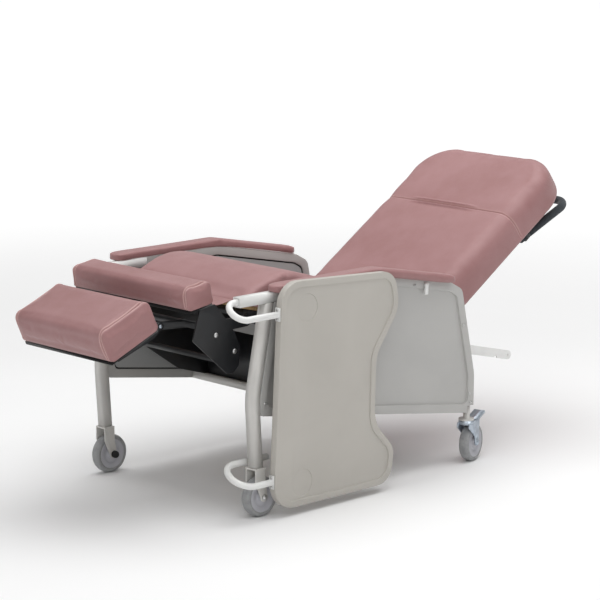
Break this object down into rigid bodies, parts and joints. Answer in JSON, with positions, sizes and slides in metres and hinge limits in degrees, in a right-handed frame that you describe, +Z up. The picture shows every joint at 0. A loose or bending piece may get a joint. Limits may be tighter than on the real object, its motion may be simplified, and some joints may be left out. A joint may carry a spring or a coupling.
{
  "type": "patient recliner chair",
  "caption": "Reclining patient chair on casters with coupled back, legrest and footrest, moulded sides, padded arms and a side-stowed meal tray.",
  "frame": {"origin": "point on the floor midway between the side frames, near the middle of the wheelbase", "axes": "+Z up, -Y the way the sitter faces, +X to the sitter's left, where the tray hangs"},
  "size_m": [0.843, 2.0272, 0.9383],
  "materials": {
    "vinyl": "satin",
    "white_paint": "satin",
    "panel_plastic": "matte",
    "tray_plastic": "satin",
    "black_steel": "satin",
    "zinc": "satin",
    "tyre_rubber": "matte",
    "hub_plastic": "satin",
    "handle_grip": "satin",
    "board": "matte"
  },
  "bodies": {
    "frame": {"side_panel_left": "panel_plastic", "side_panel_right": "panel_plastic", "panel_liners": "panel_plastic", "panel_screws": "zinc", "front_leg_left": "white_paint", "front_leg_right": "white_paint", "front_fork_left": "white_paint", "front_fork_right": "white_paint", "front_axles": "zinc", "arm_socket_left": "white_paint", "arm_socket_right": "white_paint", "arm_flanges": "white_paint", "arm_pad_left": "vinyl", "arm_pad_right": "vinyl", "crossbars": "panel_plastic", "mechanism_plates": "black_steel", "mechanism_shield": "black_steel", "mechanism_spacers": "black_steel", "seat_pivot_pins": "zinc", "bar_guide": "black_steel", "caster_stems": "white_paint"},
    "position_bar": {"position_bar": "white_paint"},
    "release_lever": {"release_lever": "white_paint"},
    "seat": {"seat_cushion": "vinyl", "seat_board": "board", "seat_rails": "black_steel", "seat_cross_tubes": "black_steel", "seat_flap": "vinyl", "back_hinge_pins": "zinc", "leg_hinge_pins": "zinc"},
    "backrest": {"back_cushion": "vinyl", "back_cover": "vinyl", "back_uprights": "black_steel", "back_cross_tubes": "black_steel", "push_handle": "handle_grip"},
    "legrest": {"calf_pad": "vinyl", "calf_board": "board", "leg_plates": "black_steel", "leg_cross_tubes": "black_steel", "foot_hinge_pins": "zinc"},
    "footrest": {"foot_pad": "vinyl", "foot_board": "board", "foot_arms": "black_steel"},
    "tray": {"tray": "tray_plastic", "tray_tube_upper": "white_paint", "tray_tube_lower": "white_paint", "tray_screws": "zinc"},
    "front_wheel_left": {"front_tyre_left": "tyre_rubber", "front_hub_left": "hub_plastic"},
    "front_wheel_right": {"front_tyre_right": "tyre_rubber", "front_hub_right": "hub_plastic"},
    "caster_left": {"caster_fork_left": "zinc"},
    "caster_right": {"caster_fork_right": "zinc"},
    "pedal_left": {"caster_pedal_left": "zinc"},
    "pedal_right": {"caster_pedal_right": "zinc"},
    "rear_wheel_left": {"rear_tyre_left": "tyre_rubber", "rear_hub_left": "hub_plastic"},
    "rear_wheel_right": {"rear_tyre_right": "tyre_rubber", "rear_hub_right": "hub_plastic"}
  },
  "joints": [
    {"name": "back_recline", "type": "hinge", "parent": "seat", "child": "backrest", "pos_m": [0, 0.368, 0.476], "axis": [1, 0, 0], "range_deg": [0, 41]},
    {"name": "seat_tilt", "type": "hinge", "parent": "frame", "child": "seat", "pos_m": [0, -0.1, 0.47], "axis": [1, 0, 0], "range_deg": [0, 4.01]},
    {"name": "legrest_raise", "type": "hinge", "parent": "seat", "child": "legrest", "pos_m": [0, -0.42, 0.588], "axis": [1, 0, 0], "range_deg": [0, 80.01]},
    {"name": "footrest_fold", "type": "hinge", "parent": "legrest", "child": "footrest", "pos_m": [0, -0.69643, 0.59631], "axis": [1, 0, 0], "range_deg": [-13.01, 0]},
    {"name": "position_bar_slide", "type": "slide", "parent": "frame", "child": "position_bar", "axis": [0, -0.9711, 0.2385], "range_m": [0, 0.1201]},
    {"name": "release_lever_pull", "type": "hinge", "parent": "frame", "child": "release_lever", "pos_m": [0.38, 0.25, 0.627], "axis": [1, 0, 0], "range_deg": [0, 25], "stiffness_Nm_per_rad": 0.05},
    {"name": "tray_slide", "type": "slide", "parent": "frame", "child": "tray", "axis": [0, -1, 0], "range_m": [0, 0.14]},
    {"name": "front_wheel_left_spin", "type": "hinge", "parent": "frame", "child": "front_wheel_left", "pos_m": [0.36, -0.456, 0.0625], "axis": [1, 0, 0], "continuous": true},
    {"name": "caster_left_swivel", "type": "hinge", "parent": "frame", "child": "caster_left", "pos_m": [0.36, 0.468, 0.15], "axis": [0, 0, 1], "continuous": true},
    {"name": "rear_wheel_left_spin", "type": "hinge", "parent": "caster_left", "child": "rear_wheel_left", "pos_m": [0.34947, 0.50243, 0.0625], "axis": [0.9563, 0.2924, 0], "continuous": true},
    {"name": "pedal_left_press", "type": "hinge", "parent": "caster_left", "child": "pedal_left", "pos_m": [0.34655, 0.51199, 0.135], "axis": [0.9563, 0.2924, 0], "range_deg": [-14, 0]},
    {"name": "front_wheel_right_spin", "type": "hinge", "parent": "frame", "child": "front_wheel_right", "pos_m": [-0.36, -0.456, 0.0625], "axis": [1, 0, 0], "continuous": true},
    {"name": "caster_right_swivel", "type": "hinge", "parent": "frame", "child": "caster_right", "pos_m": [-0.36, 0.468, 0.15], "axis": [0, 0, 1], "continuous": true},
    {"name": "rear_wheel_right_spin", "type": "hinge", "parent": "caster_right", "child": "rear_wheel_right", "pos_m": [-0.35375, 0.50345, 0.0625], "axis": [0.9848, -0.1736, 0], "continuous": true},
    {"name": "pedal_right_press", "type": "hinge", "parent": "caster_right", "child": "pedal_right", "pos_m": [-0.35201, 0.5133, 0.135], "axis": [0.9848, -0.1736, 0], "range_deg": [-14, 0]}
  ],
  "couplings": [
    {"joint": "seat_tilt", "follows": "back_recline", "ratio": 0.097561},
    {"joint": "legrest_raise", "follows": "back_recline", "ratio": 1.9512},
    {"joint": "footrest_fold", "follows": "back_recline", "ratio": -0.31707},
    {"joint": "position_bar_slide", "follows": "back_recline", "m_per_rad": 0.1677}
  ]
}
